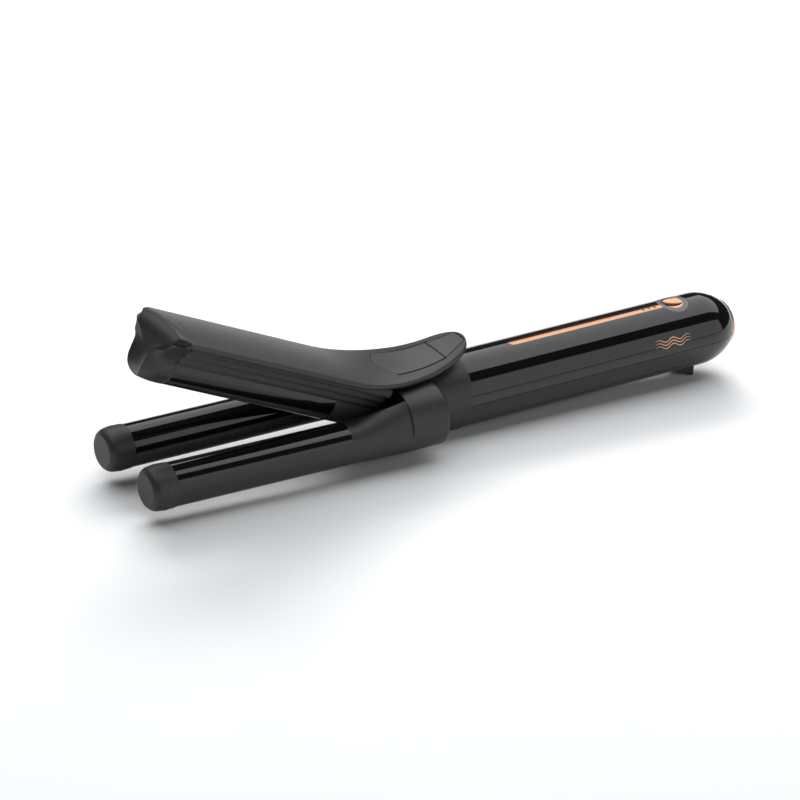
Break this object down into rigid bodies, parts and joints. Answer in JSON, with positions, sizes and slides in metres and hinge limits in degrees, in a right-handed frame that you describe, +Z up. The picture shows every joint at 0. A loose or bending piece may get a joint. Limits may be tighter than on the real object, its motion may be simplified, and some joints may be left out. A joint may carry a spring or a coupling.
{
  "type": "cordless multi-barrel curling iron",
  "caption": "Cordless hair waving iron: round handle, two fixed side-by-side heated barrels and a sprung upper jaw whose third barrel nests between them.",
  "frame": {"origin": "centre of the footprint, on the surface that the two tip caps and the rear foot stand on", "axes": "+X towards the rear of the handle, +Y towards the right barrel, +Z up"},
  "size_m": [0.3374, 0.0634, 0.0844],
  "materials": {
    "handle_gloss_black": "high gloss, moulded",
    "front_matte_black": "soft satin charcoal",
    "tip_matte_black": "fine matte",
    "jaw_matte_black": "soft satin charcoal",
    "jaw_frame_black": "matte",
    "thumb_pad": "soft-touch matte",
    "plate_gloss_black": "black ceramic coated, glossy",
    "rose_gold": "satin rose gold",
    "bezel_grey": "satin grey",
    "light_pipe": "clear diffusing plastic",
    "foot_rubber": "matte",
    "socket_black": "matte",
    "contact_brass": "plain",
    "steel": "plain",
    "heater_aluminium": "extruded",
    "heater_ceramic": "polyimide wrapped",
    "battery_wrap": "heat-shrink wrap",
    "inner_plastic": "plain",
    "circuit_board": "solder mask",
    "led_white": "plain"
  },
  "bodies": {
    "root": {"handle_upper_shell": "handle_gloss_black", "handle_lower_shell": "handle_gloss_black", "handle_screws": "steel", "accent_strip": "rose_gold", "led_light_pipes": "light_pipe", "led_chips": "led_white", "button_bezel": "bezel_grey", "main_circuit_board": "circuit_board", "tact_switch": "inner_plastic", "battery_cell_front": "battery_wrap", "battery_cell_rear": "battery_wrap", "battery_cradle": "inner_plastic", "charging_socket": "socket_black", "socket_pin": "contact_brass", "end_disc": "rose_gold", "rear_foot": "foot_rubber", "front_collar": "front_matte_black", "yoke_housing": "front_matte_black", "yoke_screws": "steel", "hinge_pin": "steel", "jaw_spring": "steel", "barrel_casing_left": "front_matte_black", "heating_plate_left": "plate_gloss_black", "barrel_core_left": "heater_aluminium", "ptc_heater_left": "heater_ceramic", "tip_cap_left": "tip_matte_black", "yoke_cover_left": "front_matte_black", "barrel_casing_right": "front_matte_black", "heating_plate_right": "plate_gloss_black", "barrel_core_right": "heater_aluminium", "ptc_heater_right": "heater_ceramic", "tip_cap_right": "tip_matte_black", "yoke_cover_right": "front_matte_black"},
    "jaw": {"jaw_shell": "jaw_matte_black", "jaw_nose": "tip_matte_black", "jaw_carrier": "jaw_frame_black", "jaw_heating_plate": "plate_gloss_black", "jaw_core": "heater_aluminium", "jaw_ptc_heater": "heater_ceramic", "jaw_screws": "steel", "thumb_pad": "thumb_pad", "lever_end_trim": "jaw_matte_black", "hinge_bushes": "contact_brass"},
    "power_button": {"power_button": "rose_gold"}
  },
  "joints": [
    {"name": "jaw_hinge", "type": "hinge", "parent": "root", "child": "jaw", "pos_m": [-0.0331, 0, 0.01604], "axis": [0, -1, 0], "range_deg": [0, 19.7], "stiffness_Nm_per_rad": 0.16, "springref_deg": 36.9},
    {"name": "power_button_press", "type": "slide", "parent": "root", "child": "power_button", "axis": [0.0314, 0, -0.9995], "range_m": [0, 0.0006], "stiffness_N_per_m": 900, "springref_m": -0.0006}
  ]
}
